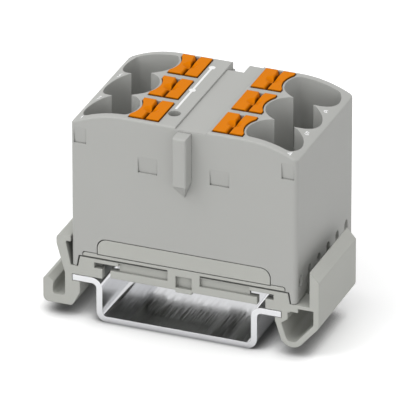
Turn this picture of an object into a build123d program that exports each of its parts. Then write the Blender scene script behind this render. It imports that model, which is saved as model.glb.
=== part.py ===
"""A six-way push-in power distribution block, standing on a short piece of 35 mm hat rail.

Frame: X runs across the rail, Y runs along it, Z is up. The origin is the middle of the rail's underside.
The block is drawn about its own middle plane and then moved by block_offset along X, because the
adapter under it holds the rail a little to one side. All lengths are in millimetres.
"""
from build123d import *
import os
from math import hypot

# Rail, the standard 35 mm hat section
rail_width = 35.0
rail_height = 7.5
rail_hat_width = 27.0
rail_sheet = 1.0
rail_bend = 0.8

# Block
poles_per_side = 3
pole_pitch = 8.3
end_skin = 0.05
housing_width = 37.8
housing_height = 36.4
roof_flat_width = 20.0
roof_drop = 2.3
corner_radius = 0.8
roof_edge_radius = 0.35
block_offset = 1.2
side_wall = 1.55
end_wall = 1.1
cell_web = 0.8
centre_web = 1.6
chamber_height = 10.5

# Conductor entries
entry_radius = 4.45
entry_depth = 12.0
entry_rim = 0.85
entry_end_wall = 1.3
entry_corner_radius = 1.0
wire_hole_radius = 3.0
wire_funnel_depth = 0.7
wire_funnel_reach = 0.8

# Push buttons
button_width = 4.2
button_web = 1.55
button_entry_web = 0.45
button_gap = 0.12
button_proud = 0.25
button_head_height = 5.6
button_travel = 2.0
button_stop_gap = 0.2
button_ear_reach = 0.75
stem_inset_x = 0.6
stem_inset_y = 0.9
driver_slot_width = 0.8
driver_slot_depth = 0.7
driver_dish_radius = 1.4
driver_dish_floor = 0.4
driver_dish_depth = 0.55
driver_ramp_start = 0.3
driver_ramp_depth = 1.7
driver_ramp_flare = 0.32

# Guide between neighbouring blocks, marking channel and test hole
guide_offset = 0.2
guide_width = 2.25
guide_proud = 2.5
guide_gap = 0.1
guide_length = 11.3
guide_drop = 0.65
guide_tip_height = 3.0
guide_edge_radius = 0.35
guide_mouth = 1.3
channel_left = 1.35
channel_gap = 0.6
channel_depth = 0.3
test_hole_radius = 1.0
test_hole_depth = 6.0
test_hole_gap = 0.25
test_hole_inset = 4.5

# Snap pockets along both sides of the housing and ramped catches in its front
side_pocket_pitch = 4.05
side_pocket_count = 6
side_pocket_inset = 1.0
side_pocket_length = 1.4
side_pocket_height = 2.1
side_pocket_depth = 0.5
side_pocket_corner = 0.45
side_pocket_level = 11.5
catch_depth = 0.3
catch_rise = 2.8
outer_catch_x = 16.3
outer_catch_width = 2.05
outer_catch_level = 30.75
inner_catch_x = 4.4
inner_catch_width = 3.2
inner_catch_level = 27.45
relief_start = 4.3
relief_depth = 0.8
relief_top = 12.2

# Adapter deck and front
deck_gap = 0.1
deck_top = 11.1
deck_sheet = 0.9
deck_wall = 1.1
deck_rib = 0.9
deck_rib_x = 2.0
deck_seat_width = 2.3
skirt_width = 1.25
skirt_lean = 0.35
skirt_bottom = 9.2
skirt_gap = 0.25
shelf_gap = 0.1
foot_length = 16.5
tab_width = 28.9
tab_height = 3.4
tab_thickness = 0.9
tab_radius = 1.6
tab_gap = 0.12
strip_width = 33.8
strip_height = 0.72
groove_height = 0.28
groove_depth = 0.5
post_outer = 2.7
post_inner = 1.35
ledge_level = 9.3
ledge_underside = 8.0
ledge_half = 12.4
recess_depth = 0.5
window_width = 4.1
window_inset = 2.6
window_height = 0.95
notch_width = 1.4
notch_inset = 1.35
recess_height = 1.5
middle_recess_level = 8.4
middle_recess_height = 2.0
middle_recess_depth = 0.7

# Hook foot on the left and its latch arm
flange_gap = 0.1
claw_gap = 0.1
claw_reach = 1.3
hook_width = 4.9
hook_level = 1.95
hook_leg = 1.2
hook_floor = 1.5
hook_lip = 1.6
hook_lip_height = 4.4
hook_lip_catch = 0.2
hook_nose_height = 2.0
hook_corner = 0.9
latch_height = 14.1
latch_reach = 2.4
latch_head = 0.9
latch_shoulder = 1.6
latch_gap = 0.1

# Loop foot on the right and its outer wall
loop_sheet = 0.9
loop_claw_reach = 1.0
loop_claw_height = 0.8
loop_nib = 0.9
loop_lean = 1.8
loop_point_level = 0.45
loop_radius = 1.6
loop_shoulder_radius = 0.5
wall_gap = 2.15
wall_sheet = 1.55
wall_height = 15.3
wall_slope = 1.7
wall_foot_level = 5.8
bridge_sheet = 1.3
bridge_thin = 0.6
bridge_step = 2.7
bridge_length = 4.3

# Current bar, cages and springs
bar_sheet = 1.0
bar_gap = 0.3
bar_leg_height = 7.8
bar_leg_width = 5.2
cage_sheet = 0.5
cage_width = 6.2
cage_height = 7.8
cage_window_height = 2.6
cage_edge = 1.1
spring_sheet = 0.4
spring_width = 4.6
spring_bend = 1.4
spring_gap = 0.3
spring_reach = 3.6
spring_drop = 5.2

# Sizes that follow
block_depth = poles_per_side * pole_pitch + 2 * end_skin
half_depth = block_depth / 2
half_width = housing_width / 2
front = -half_depth
roof_run = half_width - roof_flat_width / 2
side_top = housing_height - roof_drop
entry_x = half_width - entry_rim - entry_radius
button_outer = entry_x - entry_radius - button_entry_web
button_inner = button_outer - button_width
button_length = pole_pitch - button_web
button_middle = (button_inner + button_outer + button_ear_reach) / 2
button_top = housing_height + button_proud
head_bottom = button_top - button_head_height
head_seat = head_bottom - button_travel - button_stop_gap
chamber_top = deck_top + chamber_height
chamber_x = half_width - side_wall
chamber_y = half_depth - end_wall
deck_bottom = rail_height + deck_gap
deck_half = half_width - skirt_width
rail_left = -rail_width / 2 - block_offset
rail_right = rail_width / 2 - block_offset
flange_under = rail_height - rail_sheet
claw_top = flange_under - claw_gap
bar_top = deck_top + bar_sheet
bar_leg_x = chamber_x - bar_gap
cage_floor = bar_top + cage_sheet
cage_inner_x = button_inner - cage_sheet
cage_outer_x = bar_leg_x - bar_sheet - bar_gap
spring_top = chamber_top - spring_gap - spring_gap
stem_bottom = spring_top + spring_gap
foot_back = front + foot_length
pole_places = [(side, row) for side in (-1, 1) for row in range(poles_per_side)]


def slab(x0, x1, y0, y1, z0, z1):
    """An upright block between two corners."""
    middle = Pos((x0 + x1) / 2, (y0 + y1) / 2, (z0 + z1) / 2)
    return middle * Box(abs(x1 - x0), abs(y1 - y0), abs(z1 - z0))


def prism(face, y0, y1):
    """A face drawn in X and Z, carried along Y from y0 to y1."""
    return extrude(Plane(origin=(0, y1, 0), x_dir=(1, 0, 0), z_dir=(0, -1, 0)) * face, y1 - y0)


def outline(points, radii):
    """A closed face through the points, each corner rounded by its own radius."""
    return make_face(FilletPolyline(*points, radius=radii, close=True))


def strip(points, radii, sheet):
    """The section of a bent strip that follows the points as its middle line."""
    return trace(FilletPolyline(*points, radius=radii), sheet)


def pole_y(row):
    return (row - (poles_per_side - 1) / 2) * pole_pitch


def rail():
    """The hat rail, one folded sheet."""
    middle = rail_sheet / 2
    flange = rail_height - middle
    web_x = rail_hat_width / 2 - middle
    path = [(-rail_width / 2, flange), (-web_x, flange), (-web_x, middle)]
    path += [(-x, z) for x, z in reversed(path)]
    bend = rail_bend + middle
    return prism(strip(path, [bend] * 4, rail_sheet), -half_depth, half_depth)


def housing_section():
    """The end view of the housing, with its roof curving down to both sides."""
    flat = roof_flat_width / 2
    step = deck_half
    lines = Polyline((-flat, housing_height), (flat, housing_height))
    lines += TangentArc((flat, housing_height), (half_width, side_top), tangent=(1, 0))
    lines += Polyline(
        (half_width, side_top), (half_width, skirt_bottom), (step + skirt_lean, skirt_bottom), (step, deck_top),
        (-step, deck_top), (-step - skirt_lean, skirt_bottom), (-half_width, skirt_bottom), (-half_width, side_top),
    )
    lines += TangentArc((-flat, housing_height), (-half_width, side_top), tangent=(-1, 0))
    return make_face(lines)


def entry_pocket(side):
    """Three round wire entries that run into each other, cut straight at the two ends."""
    circles = Sketch()
    for row in range(poles_per_side):
        circles += Pos(side * entry_x, pole_y(row)) * Circle(entry_radius)
    limit = Rectangle(housing_width, block_depth - 2 * entry_end_wall)
    face = circles & Pos(side * entry_x) * limit
    floor = housing_height - entry_depth
    cut = extrude(Pos(0, 0, floor) * face, entry_depth + 1)
    ends = [e for e in cut.edges().filter_by(Axis.Z) if abs(abs(e.center().Y) - face.bounding_box().max.Y) < 0.01]
    return fillet(ends, entry_corner_radius)


def wire_hole(side, row):
    """The round hole from an entry down into its chamber, with a funnel at its mouth."""
    place = Pos(side * entry_x, pole_y(row), 0)
    floor = housing_height - entry_depth
    mouth = wire_hole_radius + wire_funnel_reach
    hole = extrude(Pos(0, 0, chamber_top - 1) * Circle(wire_hole_radius), floor - chamber_top + 2)
    middle = floor - wire_funnel_depth / 2
    funnel = Pos(0, 0, middle) * Cone(wire_hole_radius, mouth, wire_funnel_depth)
    return place * (hole + funnel)


def button_outline(grow):
    """The top view of a button with its entry on the +X side: its waist runs round the entry. Grown all round."""
    inner, ear = button_inner - grow, button_outer + button_ear_reach + grow
    half = button_length / 2 + grow
    block = Pos((inner + ear) / 2) * Rectangle(ear - inner, 2 * half)
    return block - Pos(entry_x) * Circle(entry_x - button_outer - grow)


def stem_outline(grow):
    """The button's stem in top view, grown by a clearance all round."""
    width = button_width - 2 * stem_inset_x + 2 * grow
    length = button_length - 2 * stem_inset_y + 2 * grow
    return Pos((button_inner + button_outer) / 2) * Rectangle(width, length)


def turned(side):
    """Turns a part drawn for the right side about the Z axis onto either side."""
    return Rot(0, 0, 0 if side > 0 else 180)


def button_shaft(side, row):
    """The stepped shaft in which a button slides."""
    head = extrude(Pos(0, 0, head_seat) * button_outline(button_gap), housing_height - head_seat + 1)
    stem = extrude(Pos(0, 0, chamber_top - 1) * stem_outline(button_gap), head_seat - chamber_top + 2)
    return Pos(0, pole_y(row), 0) * turned(side) * (head + stem)


def driver_guide(side):
    """What the screwdriver slides into: a V groove, a dish and a deeper groove that falls to the back edge."""
    half = button_length / 2
    lift = button_top + button_gap
    slope = driver_slot_width / 2 * (driver_slot_depth + button_gap) / driver_slot_depth
    v = Polyline(
        (button_middle - slope, lift), (button_middle, button_top - driver_slot_depth),
        (button_middle + slope, lift), close=True,
    )
    deep = driver_dish_depth + button_gap
    dish = Pos(button_middle, 0, lift - deep / 2) * Cone(driver_dish_floor, driver_dish_radius, deep)
    back = half + button_gap
    run, fall = back - driver_ramp_start, driver_ramp_depth - driver_dish_depth
    tall = driver_ramp_depth + button_gap
    wide = driver_ramp_flare * tall
    point = button_top - driver_dish_depth
    v_back = Polyline(
        (button_middle, point), (button_middle + wide, point + tall), (button_middle - wide, point + tall), close=True,
    )
    plane = Plane(origin=(0, driver_ramp_start, 0), x_dir=(1, 0, 0), z_dir=(0, -1, 0))
    ramp = extrude(plane * make_face(v_back), hypot(run, fall), dir=(0, run, -fall))
    ramp = ramp if side > 0 else mirror(ramp, about=Plane.XZ)
    return prism(make_face(v), -back, back) + dish + ramp


def button(side, row):
    """A push button: eared head with its screwdriver guide, and a stem down to the spring."""
    head = extrude(Pos(0, 0, head_bottom) * button_outline(0), button_head_height)
    stem = extrude(Pos(0, 0, stem_bottom) * stem_outline(0), head_bottom - stem_bottom)
    return Pos(0, pole_y(row), 0) * turned(side) * (head + stem - driver_guide(side))


def guide(grow):
    """The guide tongue's front view, grown by a clearance: straight sides that run down to a point."""
    half = guide_width / 2 + grow
    top = housing_height - guide_drop
    point = top - guide_length - grow
    tip = point + guide_tip_height
    corners = [(0, point), (half, tip), (half, top), (-half, top), (-half, tip)]
    return Pos(guide_offset) * make_face(Polyline(*corners, close=True))


def guide_tongue():
    """The tongue: the front view crossed with a side view that slopes back to the face at its point."""
    point = housing_height - guide_drop - guide_length
    nose, root = front - guide_proud, front + roof_edge_radius
    side = Polyline(
        (front, point), (nose, point + guide_tip_height), (nose, housing_height),
        (root, housing_height), (root, point), close=True,
    )
    wedge = extrude(Plane.YZ.offset(-half_width) * make_face(side), housing_width)
    tongue = prism(guide(0), nose, root) & wedge
    edges = tongue.faces().sort_by(Axis.Y)[0].edges().sort_by(Axis.Z)
    return fillet(edges[1:], guide_edge_radius)


def guide_groove():
    """The groove in the far end that takes the next block's tongue, open at the roof."""
    seat = half_depth - guide_proud - guide_gap
    groove = prism(guide(guide_gap), seat, half_depth + 1)
    right = guide_offset + guide_width / 2 + guide_gap
    return groove + slab(-channel_left, right, seat, half_depth + 1, housing_height - guide_mouth, housing_height + 1)


def tab_face(grow):
    """The adapter's front tab: a low wide strip with a rounded panel above it."""
    panel_top = deck_top + tab_height
    wide, narrow = strip_width / 2 + grow, tab_width / 2 + grow
    shelf = deck_top + strip_height + grow
    low = deck_top - 1
    points = [
        (-wide, low), (wide, low), (wide, shelf), (narrow, shelf), (narrow, panel_top + grow),
        (-narrow, panel_top + grow), (-narrow, shelf), (-wide, shelf),
    ]
    radii = [0, 0, strip_height / 2, 0, tab_radius, tab_radius, 0, strip_height / 2]
    return outline(points, radii)


def side_pockets():
    """The row of snap pockets along both sides of the housing, just above the adapter."""
    cuts = Part()
    level = side_pocket_level + side_pocket_height / 2
    mouth = chamfer(Rectangle(side_pocket_length, side_pocket_height).vertices(), side_pocket_corner)
    for side in (-1, 1):
        base = half_width - side_pocket_depth if side > 0 else -half_width - 1
        for n in range(side_pocket_count):
            y = front + side_pocket_inset + side_pocket_length / 2 + n * side_pocket_pitch
            cuts += extrude(Plane.YZ.offset(base) * Pos(y, level) * mouth, side_pocket_depth + 1)
    return cuts


def catches():
    """Four ramped catches in the front face, flush at the top and deepest at their lower ledge."""
    cuts = Part()
    outer = (outer_catch_x, outer_catch_width, outer_catch_level)
    inner = (inner_catch_x, inner_catch_width, inner_catch_level)
    for x, width, level in (outer, inner):
        ramp = Polyline((front, level), (front + catch_depth, level), (front, level + catch_rise), close=True)
        for start in (x, -x - width):
            cuts += extrude(Plane.YZ.offset(start) * make_face(ramp), width)
    return cuts


def side_reliefs():
    """The room behind each foot, where the housing's sides stand back and its skirt stops."""
    cuts = Part()
    y0, y1 = front + relief_start, foot_back - end_wall
    for side in (-1, 1):
        outer = side * (half_width + 1)
        cuts += slab(side * deck_half, outer, y0, y1, 0, deck_top)
        cuts += slab(side * (half_width - relief_depth), outer, y0, y1, deck_top - 1, relief_top)
    return cuts


def chambers():
    """One open-bottomed chamber for each pole, joined below by the space for the current bar."""
    room = slab(-chamber_x, chamber_x, -chamber_y, chamber_y, deck_top - 1, bar_top + bar_gap)
    half = (pole_pitch - cell_web) / 2
    for side, row in pole_places:
        y0, y1 = max(pole_y(row) - half, -chamber_y), min(pole_y(row) + half, chamber_y)
        room += slab(side * centre_web / 2, side * chamber_x, y0, y1, deck_top, chamber_top)
    return room


def housing():
    """The grey moulded housing, open below."""
    body = prism(housing_section(), -half_depth, half_depth)
    corners = [e for e in body.edges().filter_by(Axis.Z) if abs(abs(e.center().X) - half_width) < 0.01]
    body = fillet(corners, corner_radius)
    ends = [f for f in body.faces().filter_by(Axis.Y)]
    rims = [e for f in ends for e in f.edges() if e.center().Z > side_top]
    body = fillet(rims, roof_edge_radius)
    body += guide_tongue()
    channel_right = button_inner - channel_gap
    floor = housing_height - channel_depth
    body -= slab(-channel_left, channel_right, -block_depth, block_depth, floor, housing_height + 1)
    body -= guide_groove()
    test_x = -(button_inner - test_hole_gap - test_hole_radius)
    hole = Pos(test_x, front + test_hole_inset, housing_height - test_hole_depth) * Circle(test_hole_radius)
    body -= extrude(hole, test_hole_depth + 1)
    for side in (-1, 1):
        body -= entry_pocket(side)
    for side, row in pole_places:
        body -= wire_hole(side, row) + button_shaft(side, row)
    body -= chambers() + side_pockets() + side_reliefs() + catches()
    body -= prism(tab_face(tab_gap), front - 1, front + tab_thickness + tab_gap)
    return body


def right_foot():
    """The fixed foot: a claw under the rail's flange, a loop below it, a short bridge and a tall outer wall."""
    sheet = loop_sheet / 2
    inner = half_width + wall_gap
    outer = inner + wall_sheet
    seat = rail_right + flange_gap
    heel = rail_right - loop_claw_reach
    nib = seat + loop_sheet + claw_gap
    claw = Polyline(
        (heel, claw_top), (heel, claw_top - loop_claw_height), (seat, claw_top - loop_claw_height),
        (nib, claw_top), (nib, deck_bottom + sheet), (seat, deck_bottom + sheet), (seat, claw_top), close=True,
    )
    foot = prism(make_face(claw), front, foot_back)
    level = skirt_bottom - shelf_gap
    loop = [
        (heel + sheet, claw_top - sheet), (heel + sheet + loop_lean, loop_point_level),
        (outer - sheet, wall_foot_level), (outer - sheet, level),
    ]
    foot += prism(strip(loop, [loop_radius, loop_shoulder_radius], loop_sheet), front, foot_back)
    bridge_back = front + bridge_length
    foot += slab(deck_half, seat + bridge_step, front, bridge_back, level - bridge_sheet, level)
    foot += slab(seat + bridge_step, outer, front, bridge_back, level - bridge_thin, level)
    wall = Polyline(
        (inner, level - bridge_thin), (outer, level - bridge_thin), (outer, wall_height - wall_slope),
        (inner, wall_height), close=True,
    )
    return foot + prism(make_face(wall), front, foot_back)


def left_foot():
    """The sprung foot: a hook that grips the other flange, and the latch arm that frees it."""
    seat = rail_left - flange_gap
    nose = seat + claw_reach
    outer = seat - hook_width
    floor = hook_level + hook_floor
    lip_in = outer + hook_lip
    lip_top = hook_level + hook_lip_height
    leg_in = seat - hook_leg
    half_lip = hook_lip / 2
    points = [
        (nose, claw_top), (nose, claw_top - hook_nose_height), (seat, hook_level),
        (outer, hook_level), (outer, lip_top), (outer + half_lip, lip_top),
        (lip_in + hook_lip_catch, lip_top - half_lip), (lip_in, lip_top - hook_lip),
        (lip_in, floor), (leg_in, floor), (leg_in, deck_bottom), (seat, deck_bottom), (seat, claw_top),
    ]
    soft, sharp = hook_corner * 2 / 3, hook_corner / 4
    radii = [sharp, sharp, soft, hook_corner, soft, sharp, sharp, sharp, soft, soft, 0, 0, 0]
    hook = prism(outline(points, radii), front, foot_back)
    wall = -half_width - latch_gap
    shelf = skirt_bottom - shelf_gap
    shoulder = wall - latch_reach
    head = latch_height - latch_head
    arm_points = [
        (leg_in, deck_bottom), (-deck_half, deck_bottom), (-deck_half, shelf), (wall, shelf),
        (wall - latch_head, head), (wall, head), (wall, latch_height), (shoulder, latch_height),
        (shoulder, latch_height - latch_shoulder),
    ]
    arm = prism(outline(arm_points, [0, 0, 0, 0, sharp, 0, sharp, soft, hook_corner]), front, foot_back)
    return hook + arm


def deck():
    """The deck that closes the housing: hollow below, with a front frame, two seats and ribs."""
    shift = skirt_gap
    step, wide = deck_half - shift, deck_half + skirt_lean - shift
    section = Polyline(
        (-step, deck_top), (step, deck_top), (wide, skirt_bottom), (wide, deck_bottom),
        (-wide, deck_bottom), (-wide, skirt_bottom), close=True,
    )
    body = prism(make_face(section), front, half_depth)
    under = deck_top - deck_sheet
    room_x = deck_half - deck_seat_width
    room_y = half_depth - deck_wall
    room = slab(-room_x, room_x, -room_y, room_y, 0, under)
    for x in (-deck_rib_x, deck_rib_x):
        room -= slab(x - deck_rib / 2, x + deck_rib / 2, -room_y, room_y, 0, under)
    body -= room
    for side in (-1, 1):
        body -= slab(side * post_inner, side * ledge_half, front - 1, half_depth + 1, 0, ledge_underside)
    return body


def front_relief():
    """What is cut into the adapter's front: two windows, three recesses and the grooves above them."""
    cuts = slab(
        -post_inner, post_inner, front - 1, front + middle_recess_depth,
        middle_recess_level, middle_recess_level + middle_recess_height,
    )
    line = deck_top + strip_height
    end = tab_width / 2 + tab_gap
    cuts += slab(-end, end, front - 1, front + groove_depth, line - groove_height / 2, line)
    for side in (-1, 1):
        far = side * (deck_half - window_inset)
        near = side * (deck_half - window_inset - window_width)
        top = ledge_level + window_height
        cuts += slab(far, near, front - 1, front + deck_wall + 1, ledge_level, top)
        inner = side * post_outer
        cuts += slab(near, inner, front - 1, front + recess_depth, ledge_level, ledge_level + recess_height)
        notch = far - side * notch_inset
        cuts += slab(notch, notch - side * notch_width, front - 1, front + deck_wall + 1, 0, ledge_level + window_height / 2)
        low = deck_top - groove_height * 3 / 4
        cuts += slab(side * deck_half, inner, front - 1, front + groove_depth, low, low + groove_height)
    return cuts


def adapter():
    """The rail adapter: the deck, the tab that stands up in front of the housing and the two feet."""
    tab = prism(tab_face(0), front, front + tab_thickness)
    tab -= slab(-housing_width, housing_width, front - 1, half_depth, 0, deck_top)
    return deck() + tab - front_relief() + right_foot() + left_foot()


def current_bar():
    """The current bar that joins all poles: one stamped strip with an upturned leg for each."""
    bar = slab(-bar_leg_x, bar_leg_x, -chamber_y + bar_gap, chamber_y - bar_gap, deck_top, bar_top)
    for side, row in pole_places:
        half = bar_leg_width / 2
        x0, x1 = side * (bar_leg_x - bar_sheet), side * bar_leg_x
        bar += slab(x0, x1, pole_y(row) - half, pole_y(row) + half, deck_top, deck_top + bar_leg_height)
    slots = range(poles_per_side - 1)
    for side in (-1, 1):
        for row in slots:
            y = (pole_y(row) + pole_y(row + 1)) / 2
            half = (pole_pitch - bar_leg_width) / 4
            bar -= slab(side * cage_outer_x, side * half_width, y - half, y + half, 0, housing_height)
    return bar


def cage(side, row):
    """The folded steel cage round one clamping point: a floor, two cheeks and a back."""
    half = cage_width / 2
    outer = slab(cage_inner_x, cage_outer_x, -half, half, bar_top, bar_top + cage_height)
    room = slab(
        cage_inner_x + cage_sheet, housing_width, cage_sheet - half, half - cage_sheet, cage_floor, housing_height
    )
    window_low = bar_top + (cage_height - cage_window_height) / 2
    window = slab(
        cage_inner_x + cage_edge + cage_sheet, cage_outer_x - cage_edge, -half - 1, half + 1,
        window_low, window_low + cage_window_height,
    )
    return Pos(0, pole_y(row), 0) * turned(side) * (outer - room - window)


def spring(side, row):
    """The clamping spring: an upright leg in the cage, a loop under the button and a slanted clamping leg."""
    inner = cage_inner_x + cage_sheet + spring_sheet
    middle = spring_top - spring_sheet / 2
    bend_x = inner + spring_reach
    path = [
        (inner, cage_floor), (inner, middle), (bend_x, middle),
        (bend_x + spring_reach, middle - spring_drop),
    ]
    leg = prism(strip(path, [spring_bend] * 2, spring_sheet), -spring_width / 2, spring_width / 2)
    return Pos(0, pole_y(row), 0) * turned(side) * leg


def place(shape):
    """Moves a part of the block from its own middle plane to its place over the rail."""
    return Pos(block_offset, 0, 0) * shape


def write(name, shape):
    shape.label = name
    export_step(shape, f"parts/{name}.step")


os.makedirs("parts", exist_ok=True)
write("din_rail", rail())
write("housing", place(housing()))
write("rail_adapter", place(adapter()))
write("current_bar", place(current_bar()))
for number, (side, row) in enumerate(pole_places, start=1):
    write(f"push_button_{number}", place(button(side, row)))
    write(f"clamp_cage_{number}", place(cage(side, row)))
    write(f"clamp_spring_{number}", place(spring(side, row)))
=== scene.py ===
"""Looks of the power distribution block on its hat rail: materials, springs, print, stage and camera."""
from math import cos, radians, sin, tau

import bpy
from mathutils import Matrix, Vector
from mathutils.bvhtree import BVHTree


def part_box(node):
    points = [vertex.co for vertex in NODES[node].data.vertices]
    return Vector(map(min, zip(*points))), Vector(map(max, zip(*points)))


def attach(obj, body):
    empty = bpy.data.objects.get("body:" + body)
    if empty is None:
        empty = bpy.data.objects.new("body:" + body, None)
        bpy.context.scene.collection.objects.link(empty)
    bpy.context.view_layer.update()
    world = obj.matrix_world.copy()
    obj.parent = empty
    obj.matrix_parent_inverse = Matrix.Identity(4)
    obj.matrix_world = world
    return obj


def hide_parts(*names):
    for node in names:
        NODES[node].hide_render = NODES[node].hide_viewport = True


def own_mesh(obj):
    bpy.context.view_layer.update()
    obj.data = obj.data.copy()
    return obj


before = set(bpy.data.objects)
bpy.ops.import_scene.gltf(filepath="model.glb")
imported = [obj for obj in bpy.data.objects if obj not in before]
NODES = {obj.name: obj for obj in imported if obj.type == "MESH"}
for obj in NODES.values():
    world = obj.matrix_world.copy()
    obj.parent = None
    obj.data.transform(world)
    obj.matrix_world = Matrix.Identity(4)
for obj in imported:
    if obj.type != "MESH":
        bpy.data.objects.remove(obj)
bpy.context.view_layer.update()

MM = 0.001

# Camera, as fitted to the photo: degrees right of the front, degrees up, target and distance
CAMERA_TURN = 21.3
CAMERA_RISE = 27.04
CAMERA_TARGET = Vector((3.97, -12.5, 24.54)) * MM
CAMERA_DISTANCE = 1.4
PIXELS_PER_MM = 6.434
PHOTO_PIXELS = 400
SENSOR_MM = 36.0
CAMERA_CLIP = 20.0

# Light of the world: from all round, what the front and the zenith add, and the height (sine of the
# elevation) where the front's part ends and the zenith's begins
LIGHT_ROUND = 0.56
LIGHT_FRONT = 1.93
LIGHT_ABOVE = 2.1
FRONT_HEIGHT = 0.6

# Soft box at the front left: place in metres, side, and power in watts
KEY_PLACE = Vector((-0.35, -0.45, 0.75))
KEY_SIZE = 0.3
KEY_POWER = 1.2

# Colours, linear
HOUSING_GREY = (0.455, 0.458, 0.44)
ADAPTER_GREY = (0.482, 0.487, 0.455)
BUTTON_ORANGE = (0.732, 0.208, 0.0)
PRINT_WHITE = (0.9, 0.9, 0.9)
ZINC = (0.67, 0.675, 0.69)
TIN = (0.62, 0.6, 0.56)
STEEL = (0.5, 0.5, 0.51)

# Floor: its side in metres, its grey as it lights the object, its brightness as the camera sees it
FLOOR_SIDE = 6.0
FLOOR_GREY = (0.5, 0.5, 0.5)
FLOOR_SEEN = 1.28
FLOOR_NOISE = 3.0
FLOOR_SPREAD = 0.004
FLOOR_ROUGH = 0.9
FLOOR_GLOSS = 0.05

# Painted shade, darkening colours in gaps and corners: reach, what is left of the colour in the deepest,
# and the openness where it is deepest and where it ends
HOUSING_GAP_SHADE = (0.35 * MM, 0.35, 0.25, 0.75)
FOOT_GAP_SHADE = (2.5 * MM, 0.46, 0.15, 0.75)
BUTTON_GAP_SHADE = (0.6 * MM, 0.15, 0.5, 0.95)
FLOOR_GAP_SHADE = (3.0 * MM, 0.15, 0.45, 0.95)

# Plastics: roughness and how far it strays; softened edge, grains per metre and gloss; mottling; relief.
# A noise is given in features per metre and in its levels of detail
HOUSING_ROUGH, ADAPTER_ROUGH, BUTTON_ROUGH = 0.52, 0.5, 0.42
PLASTIC_STRAY = (-0.04, 0.05)
MOULDED_SKIN = (0.18 * MM, 5200.0, 0.25)
BUTTON_SKIN = (0.22 * MM, 4200.0, 0.03)
MOTTLE_NOISE, MOTTLE_DETAIL, MOTTLE_SPREAD = 140.0, 4.0, 0.016
GRAIN_DETAIL, GRAIN_STRENGTH, GRAIN_DEPTH = 2.0, 0.1, 0.04 * MM

# Metals: roughness and how far it strays, stretch and number of streaks per metre, softened edge,
# clouding, relief
ZINC_ROUGH, TIN_ROUGH, STEEL_ROUGH = 0.1, 0.35, 0.3
METAL_STRAY = (-0.06, 0.1)
ZINC_STRETCH, TIN_STRETCH, STEEL_STRETCH = (6.0, 0.3, 1.0), (1.0, 1.0, 1.0), (1.0, 6.0, 1.0)
RAIL_STREAKS, SHEET_STREAKS = 700.0, 900.0
SHEET_EDGE, SPRING_EDGE = 0.1 * MM, 0.08 * MM
CLOUD_NOISE, CLOUD_SPREAD = 160.0, 0.05
STREAK_DETAIL, STREAK_STRENGTH, STREAK_DEPTH = 5.0, 0.12, 0.03 * MM

# Slope in Y of the rail's shading normals, 2.9 degrees, so that the trough reflects what the photo's does
RAIL_TILT = -0.05

# Where most of a noise's values lie, and the samples of the softened edges and of the gaps
NOISE_LOW, NOISE_HIGH = 0.3, 0.7
EDGE_SAMPLES, GAP_SAMPLES = 6, 8

# How far the guide tongue stands out of the housing's front
GUIDE_PROUD = 2.5 * MM

# Print on the roof: its height above it, the dots' height and each field's thickness in multiples of
# that, and how far below the roof's highest point it may lie
PRINT_LIFT = 0.02 * MM
DOT_LIFT = 1.5
PRINT_THICKNESS = 1.5
PRINT_DROP = 3.2 * MM
PRINT_NOISE, PRINT_SPREAD = 900.0, 0.03
PRINT_GRAIN, PRINT_ROUGH = 6000.0, (0.5, 0.65)

# The line beside the left buttons, from the housing's middle, and its dots
LINE_INSET = 3.6 * MM
LINE_START, LINE_END = -6.5 * MM, 9.1 * MM
LINE_WIDTH = 0.38 * MM
DOT_RADIUS = 0.55 * MM
DOT_PLACES = (0.55 * MM, 9.1 * MM)
DOT_SIDES = 24

# The plain numbers: out from the middle, forward of their button, back from the front edge, and size
NUMBER_REACH = 17.35 * MM
NUMBER_SHIFT = 4.15 * MM
NUMBER_FRONT = 0.85 * MM
NUMBER_HEIGHT = 0.9 * MM
NUMBER_WIDTH = 0.54 * MM
NUMBER_STROKE = 0.16 * MM

# Strokes of each plain number, in a cell one unit high
NUMBERS = {
    1: [[(0.1, 0.75), (0.35, 1.0), (0.35, 0.0)]],
    2: [[(0.05, 0.8), (0.3, 1.0), (0.55, 0.75), (0.0, 0.0), (0.6, 0.0)]],
    3: [[(0.05, 1.0), (0.55, 1.0), (0.28, 0.6), (0.58, 0.3), (0.3, 0.0), (0.0, 0.15)]],
    4: [[(0.6, 0.3), (0.0, 0.3), (0.42, 1.0), (0.42, 0.42)], [(0.42, 0.2), (0.42, 0.0)]],
    5: [[(0.55, 1.0), (0.1, 1.0), (0.05, 0.55), (0.45, 0.6), (0.58, 0.3), (0.3, 0.0), (0.0, 0.1)]],
    6: [[(0.5, 1.0), (0.1, 0.5), (0.05, 0.2), (0.3, 0.0), (0.55, 0.25), (0.4, 0.5), (0.26, 0.42)]],
}


def shade(name):
    """A new material, with its node tree and its shader."""
    material = bpy.data.materials.new(name)
    material.use_nodes = True
    tree = material.node_tree
    return material, tree, tree.nodes["Principled BSDF"]


def add(tree, kind, **values):
    """Adds a node and sets its plain attributes or, where it has none of that name, its inputs."""
    node = tree.nodes.new(kind)
    for key, value in values.items():
        if hasattr(node, key):
            setattr(node, key, value)
        else:
            node.inputs[key.replace("_", " ")].default_value = value
    return node


def noise(tree, scale, detail=3.0, stretch=(1, 1, 1)):
    """Noise over the object's own coordinates, in features per metre."""
    place = add(tree, "ShaderNodeTexCoord")
    mapping = add(tree, "ShaderNodeMapping")
    mapping.inputs["Scale"].default_value = stretch
    tree.links.new(place.outputs["Object"], mapping.inputs["Vector"])
    texture = add(tree, "ShaderNodeTexNoise", Scale=scale, Detail=detail)
    tree.links.new(mapping.outputs["Vector"], texture.inputs["Vector"])
    return texture.outputs["Fac"]


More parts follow.
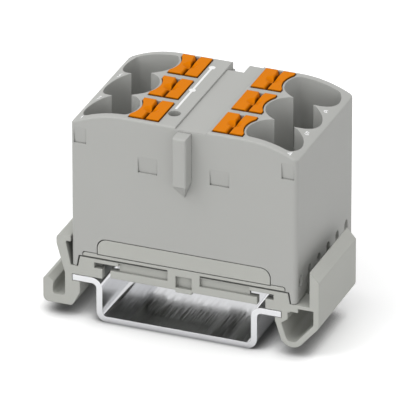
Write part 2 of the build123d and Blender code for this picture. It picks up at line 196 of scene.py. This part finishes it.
def ramp(tree, source, low, high):
    """Maps a noise onto low to high."""
    node = add(tree, "ShaderNodeMapRange")
    node.inputs["From Min"].default_value = NOISE_LOW
    node.inputs["From Max"].default_value = NOISE_HIGH
    node.inputs["To Min"].default_value = low
    node.inputs["To Max"].default_value = high
    tree.links.new(source, node.inputs["Value"])
    return node.outputs["Result"]


def bump(tree, shader, height, strength, depth, edge=0.0):
    """Fine relief, over edges softened by a small bevel."""
    node = add(tree, "ShaderNodeBump")
    node.inputs["Strength"].default_value = strength
    node.inputs["Distance"].default_value = depth
    tree.links.new(height, node.inputs["Height"])
    if edge:
        soft = add(tree, "ShaderNodeBevel", samples=EDGE_SAMPLES)
        soft.inputs["Radius"].default_value = edge
        tree.links.new(soft.outputs["Normal"], node.inputs["Normal"])
    tree.links.new(node.outputs["Normal"], shader.inputs["Normal"])


def colour_mix(tree, source, colour, spread):
    """Colour variation over a surface, as an output socket. No value goes above 1."""
    node = tree.nodes.new("ShaderNodeMix")
    node.data_type = "RGBA"
    low = tuple(c * (1 - spread) for c in colour)
    high = tuple(min(c * (1 + spread), 1.0) for c in colour)
    sockets = [s for s in node.inputs if s.type == "RGBA"]
    sockets[0].default_value = (*low, 1)
    sockets[1].default_value = (*high, 1)
    factor = next(s for s in node.inputs if s.type == "VALUE")
    tree.links.new(source, factor)
    return next(s for s in node.outputs if s.type == "RGBA")


def paint_gap_shade(tree, colour, reach, shade_left, low, high):
    """Paints shade into a colour socket in gaps and corners in reach, between a low and a high openness."""
    gap = add(tree, "ShaderNodeAmbientOcclusion", samples=GAP_SAMPLES)
    gap.inputs["Distance"].default_value = reach
    depth = add(tree, "ShaderNodeMapRange")
    depth.inputs["From Min"].default_value = low
    depth.inputs["From Max"].default_value = high
    depth.inputs["To Min"].default_value = shade_left
    tree.links.new(gap.outputs["AO"], depth.inputs["Value"])
    node = tree.nodes.new("ShaderNodeVectorMath")
    node.operation = "SCALE"
    tree.links.new(colour, node.inputs[0])
    tree.links.new(depth.outputs["Result"], node.inputs["Scale"])
    return node.outputs[0]


def plastic(name, colour, roughness, skin=MOULDED_SKIN, gap=HOUSING_GAP_SHADE):
    """Spark-eroded moulded plastic: soft edges, fine grain, slight mottling and painted shade in the gaps."""
    edge, grain, gloss = skin
    material, tree, shader = shade(name)
    mottle = colour_mix(tree, noise(tree, MOTTLE_NOISE, MOTTLE_DETAIL), colour, MOTTLE_SPREAD)
    # Painted shade: the colour darkens in gaps and corners, by ambient occlusion
    tree.links.new(paint_gap_shade(tree, mottle, *gap), shader.inputs["Base Color"])
    fine = noise(tree, grain, GRAIN_DETAIL)
    low, high = (roughness + stray for stray in PLASTIC_STRAY)
    tree.links.new(ramp(tree, fine, low, high), shader.inputs["Roughness"])
    shader.inputs["Specular IOR Level"].default_value = gloss
    bump(tree, shader, fine, GRAIN_STRENGTH, GRAIN_DEPTH, edge)
    return material


def metal(name, colour, roughness, stretch, edge=SHEET_EDGE, scale=SHEET_STREAKS, tilt=0.0):
    """Rolled or plated sheet metal with a faint drawn grain and, where given, normals tilted along Y."""
    material, tree, shader = shade(name)
    streaks = noise(tree, scale, STREAK_DETAIL, stretch)
    cloud = noise(tree, CLOUD_NOISE)
    tree.links.new(colour_mix(tree, cloud, colour, CLOUD_SPREAD), shader.inputs["Base Color"])
    shader.inputs["Metallic"].default_value = 1.0
    low, high = (roughness + stray for stray in METAL_STRAY)
    tree.links.new(ramp(tree, streaks, low, high), shader.inputs["Roughness"])
    bump(tree, shader, streaks, STREAK_STRENGTH, STREAK_DEPTH, edge)
    if tilt:
        place = add(tree, "ShaderNodeTexCoord")
        axes = add(tree, "ShaderNodeSeparateXYZ")
        tree.links.new(place.outputs["Object"], axes.inputs[0])
        rise = add(tree, "ShaderNodeBump")
        rise.inputs["Strength"].default_value = 1.0
        rise.inputs["Distance"].default_value = tilt
        tree.links.new(axes.outputs["Y"], rise.inputs["Height"])
        grain = shader.inputs["Normal"].links[0].from_node
        if grain.inputs["Normal"].links:
            tree.links.new(grain.inputs["Normal"].links[0].from_socket, rise.inputs["Normal"])
        tree.links.new(rise.outputs["Normal"], grain.inputs["Normal"])
    return material


def dress_nodes():
    """Gives every CAD node its material."""
    grey = plastic("housing_plastic", HOUSING_GREY, HOUSING_ROUGH)
    foot = plastic("adapter_plastic", ADAPTER_GREY, ADAPTER_ROUGH, gap=FOOT_GAP_SHADE)
    orange = plastic("button_plastic", BUTTON_ORANGE, BUTTON_ROUGH, BUTTON_SKIN, BUTTON_GAP_SHADE)
    zinc = metal("zinc_plate", ZINC, ZINC_ROUGH, ZINC_STRETCH, scale=RAIL_STREAKS, tilt=RAIL_TILT)
    tin = metal("tin_plate", TIN, TIN_ROUGH, TIN_STRETCH)
    steel = metal("bright_steel", STEEL, STEEL_ROUGH, STEEL_STRETCH, SPRING_EDGE)
    looks = {"housing": grey, "rail_adapter": foot, "din_rail": zinc, "current_bar": tin}
    for name, node in NODES.items():
        material = looks.get(name) or (orange if name.startswith("push_button") else steel)
        node.data.materials.clear()
        node.data.materials.append(material)
        for face in node.data.polygons:
            face.material_index = 0


def flex_springs():
    """Gives each clamping spring a piece of its own, a copy that rides on the block, and hides the CAD node.
    """
    for number in NUMBERS:
        node = NODES[f"clamp_spring_{number}"]
        piece = bpy.data.objects.new(f"flexing_spring_{number}", node.data.copy())
        piece.matrix_world = node.matrix_world
        bpy.context.scene.collection.objects.link(piece)
        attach(piece, "block")
        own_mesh(piece)
        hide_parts(node.name)


def look_down(name):
    """The surface tree of a CAD node, for laying print on it."""
    depsgraph = bpy.context.evaluated_depsgraph_get()
    return BVHTree.FromObject(NODES[name], depsgraph)


def mesh_piece(name, vertices, faces, material, body):
    """A mesh object that rides on a body."""
    mesh = bpy.data.meshes.new(name)
    mesh.from_pydata(vertices, [], faces)
    mesh.validate()
    piece = bpy.data.objects.new(name, mesh)
    bpy.context.scene.collection.objects.link(piece)
    mesh.materials.append(material)
    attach(piece, body)
    return piece


def print_patch(name, outline, surface, material, lift=PRINT_LIFT):
    """A thin field of print: an outline laid on the surface below it, as a closed skin."""
    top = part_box("housing")[1].z + PRINT_DROP
    upper = []
    for x, y in outline:
        hit = surface.ray_cast(Vector((x, y, top)), Vector((0, 0, -1)))[0]
        if top - hit.z > 2 * PRINT_DROP:
            raise ValueError(f"{name} runs off the roof")
        upper.append(Vector((x, y, hit.z + lift)))
    lower = [v - Vector((0, 0, PRINT_THICKNESS * lift)) for v in upper]
    count = len(upper)
    faces = [tuple(range(count)), tuple(reversed(range(count, 2 * count)))]
    faces += [(i, i + count, (i + 1) % count + count, (i + 1) % count) for i in range(count)]
    return mesh_piece(name, upper + lower, faces, material, "block")


def disc(x, y, radius):
    """The outline of a dot."""
    turns = [tau * i / DOT_SIDES for i in range(DOT_SIDES)]
    return [(x + radius * cos(turn), y + radius * sin(turn)) for turn in turns]


def ribbon(points, width):
    """The outline of a line of one width along points, with mitred corners."""
    points = [Vector(p) for p in points]
    runs = [(b - a).normalized() for a, b in zip(points, points[1:])]
    left, right = [], []
    for point, before, after in zip(points, [runs[0]] + runs, runs + [runs[-1]]):
        along = (before + after).normalized()
        side = Vector((-along.y, along.x)) * width / 2 / along.dot(after)
        left.append(tuple(point + side))
        right.append(tuple(point - side))
    return right + left[::-1]


def print_roof():
    """The white line with its two dots beside the left buttons, and a plain number at each entry."""
    material, tree, shader = shade("white_print")
    tone = colour_mix(tree, noise(tree, PRINT_NOISE), PRINT_WHITE, PRINT_SPREAD)
    tree.links.new(tone, shader.inputs["Base Color"])
    tree.links.new(ramp(tree, noise(tree, PRINT_GRAIN), *PRINT_ROUGH), shader.inputs["Roughness"])
    surface = look_down("housing")
    left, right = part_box("housing")[0].x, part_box("housing")[1].x
    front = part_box("housing")[0].y + GUIDE_PROUD
    middle = (left + right) / 2
    line_x = middle - LINE_INSET
    line = ribbon([(line_x, LINE_START), (line_x, LINE_END)], LINE_WIDTH)
    print_patch("print_line", line, surface, material)
    for index, y in enumerate(DOT_PLACES, 1):
        outline = disc(line_x, y, DOT_RADIUS)
        print_patch(f"print_dot_{index}", outline, surface, material, DOT_LIFT * PRINT_LIFT)
    for number, strokes in NUMBERS.items():
        low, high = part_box(f"push_button_{number}")
        side = 1 if low.x > middle else -1
        place = max((low.y + high.y) / 2 - NUMBER_SHIFT, front + NUMBER_FRONT)
        corner = Vector((middle + side * NUMBER_REACH - NUMBER_WIDTH / 2, place - NUMBER_HEIGHT / 2))
        for index, stroke in enumerate(strokes, 1):
            path = [corner + Vector(point) * NUMBER_HEIGHT for point in stroke]
            print_patch(f"print_{number}_{index}", ribbon(path, NUMBER_STROKE), surface, material)


def seen(tree):
    """1 where a ray comes straight from the camera, a reflection or a clear piece, else 0."""
    path = add(tree, "ShaderNodeLightPath")
    sight = path.outputs["Is Camera Ray"]
    for kind in ("Is Glossy Ray", "Is Transmission Ray"):
        either = add(tree, "ShaderNodeMath", operation="MAXIMUM")
        tree.links.new(sight, either.inputs[0])
        tree.links.new(path.outputs[kind], either.inputs[1])
        sight = either.outputs[0]
    return sight


def sky(tree):
    """The world's strength by direction: level all round, stronger in front and at the zenith."""
    place = add(tree, "ShaderNodeTexCoord")
    axes = add(tree, "ShaderNodeSeparateXYZ")
    tree.links.new(place.outputs["Generated"], axes.inputs[0])

    def part(axis, start, end, strength):
        node = add(tree, "ShaderNodeMapRange")
        node.inputs["From Min"].default_value = start
        node.inputs["From Max"].default_value = end
        node.inputs["To Max"].default_value = strength
        tree.links.new(axes.outputs[axis], node.inputs["Value"])
        return node.outputs["Result"]

    def join(operation, first, second):
        node = add(tree, "ShaderNodeMath", operation=operation)
        for socket, value in zip(node.inputs, (first, second)):
            if isinstance(value, float):
                socket.default_value = value
            else:
                tree.links.new(value, socket)
        return node.outputs[0]

    front = join("MULTIPLY", part("Y", 0.0, -1.0, LIGHT_FRONT), part("Z", FRONT_HEIGHT, 0.0, 1.0))
    above = part("Z", FRONT_HEIGHT, 1.0, LIGHT_ABOVE * (1.0 - FRONT_HEIGHT))
    return join("ADD", join("ADD", front, above), LIGHT_ROUND)


def studio():
    """Floor and world of a soft studio."""
    bpy.ops.mesh.primitive_plane_add(size=FLOOR_SIDE)
    floor = bpy.context.object
    floor.name = "floor"
    material, tree, shader = shade("floor_paper")
    grey = colour_mix(tree, noise(tree, FLOOR_NOISE), FLOOR_GREY, FLOOR_SPREAD)
    tree.links.new(grey, shader.inputs["Base Color"])
    shader.inputs["Roughness"].default_value = FLOOR_ROUGH
    shader.inputs["Specular IOR Level"].default_value = FLOOR_GLOSS
    paper = add(tree, "ShaderNodeBsdfDiffuse")
    white = add(tree, "ShaderNodeRGB")
    white.outputs[0].default_value = (FLOOR_SEEN, FLOOR_SEEN, FLOOR_SEEN, 1)
    # Painted shadow: the white the camera sees darkens near the object, in gaps and corners
    tree.links.new(paint_gap_shade(tree, white.outputs[0], *FLOOR_GAP_SHADE), paper.inputs["Color"])
    either = add(tree, "ShaderNodeMixShader")
    tree.links.new(seen(tree), either.inputs["Fac"])
    tree.links.new(shader.outputs[0], either.inputs[1])
    tree.links.new(paper.outputs[0], either.inputs[2])
    tree.links.new(either.outputs[0], tree.nodes["Material Output"].inputs["Surface"])
    floor.data.materials.append(material)

    world = bpy.data.worlds.new("studio")
    bpy.context.scene.world = world
    world.use_nodes = True
    tree = world.node_tree
    ground = tree.nodes["Background"]
    ground.inputs["Color"].default_value = (1, 1, 1, 1)
    tree.links.new(sky(tree), ground.inputs["Strength"])
    bright = add(tree, "ShaderNodeBackground")
    bright.inputs["Color"].default_value = (1, 1, 1, 1)
    bright.inputs["Strength"].default_value = 1.0
    mix = add(tree, "ShaderNodeMixShader")
    tree.links.new(seen(tree), mix.inputs["Fac"])
    tree.links.new(ground.outputs[0], mix.inputs[1])
    tree.links.new(bright.outputs[0], mix.inputs[2])
    tree.links.new(mix.outputs[0], tree.nodes["World Output"].inputs["Surface"])


def lamp(name, place, aim, size, power):
    """A square soft box that faces its aim."""
    data = bpy.data.lights.new(name, "AREA")
    data.size = size
    data.energy = power
    light = bpy.data.objects.new(name, data)
    light.location = place
    light.rotation_euler = (aim - light.location).to_track_quat("-Z", "Y").to_euler()
    bpy.context.scene.collection.objects.link(light)


def camera():
    """The photo's camera: a long lens, right of the front and above."""
    turn, rise = radians(CAMERA_TURN), radians(CAMERA_RISE)
    away = Vector((sin(turn) * cos(rise), -cos(turn) * cos(rise), sin(rise)))
    data = bpy.data.cameras.new("photo_camera")
    data.sensor_width = SENSOR_MM
    data.lens = PIXELS_PER_MM * CAMERA_DISTANCE / MM / PHOTO_PIXELS * SENSOR_MM
    data.clip_end = CAMERA_CLIP
    eye = bpy.data.objects.new("photo_camera", data)
    eye.location = CAMERA_TARGET + away * CAMERA_DISTANCE
    eye.rotation_euler = (-away).to_track_quat("-Z", "Y").to_euler()
    bpy.context.scene.collection.objects.link(eye)
    bpy.context.scene.camera = eye


dress_nodes()
flex_springs()
print_roof()
studio()
lamp("key", KEY_PLACE, CAMERA_TARGET, KEY_SIZE, KEY_POWER)
camera()
bpy.context.scene.view_settings.view_transform = "Standard"
